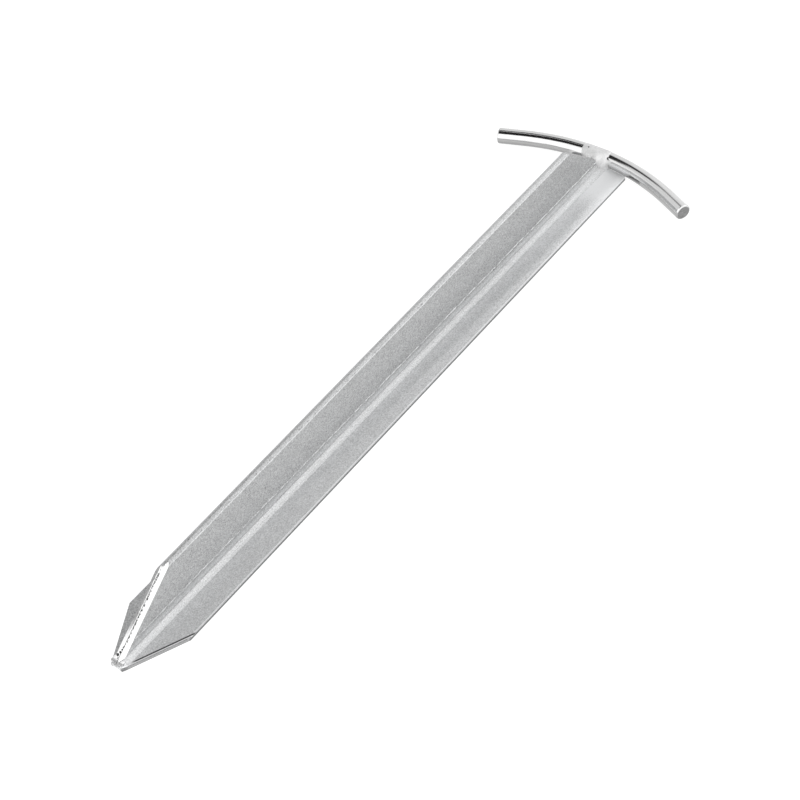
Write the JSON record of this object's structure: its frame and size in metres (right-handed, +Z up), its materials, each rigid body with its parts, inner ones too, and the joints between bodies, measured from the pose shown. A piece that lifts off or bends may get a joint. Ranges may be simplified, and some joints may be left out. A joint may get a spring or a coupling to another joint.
{
  "type": "tent stake",
  "caption": "Steel tent stake: T-section blade folded from sheet, cut to a blunt point, with a bent round rod welded across its top as a handle and guy-line hook.",
  "frame": {"origin": "centre of the stake's box in plan, on the plane of the flange's back that it lies on", "axes": "+X along the blade toward the handle, +Z up the web away from the flange's back, +Y toward the wider flange"},
  "size_m": [0.3, 0.0924, 0.0255],
  "materials": {
    "zinc_sheet": "satin zinc-plated sheet with a fine mottled grain and brighter fold lines",
    "zinc_rod": "bright zinc-plated drawn rod, glossier than the sheet, matt sawn ends",
    "weld_metal": "matt zinc over a smooth weld with a few pinholes"
  },
  "bodies": {
    "root": {"blade": "zinc_sheet", "handle_rod": "zinc_rod", "weld_bead": "weld_metal"}
  },
  "joints": []
}
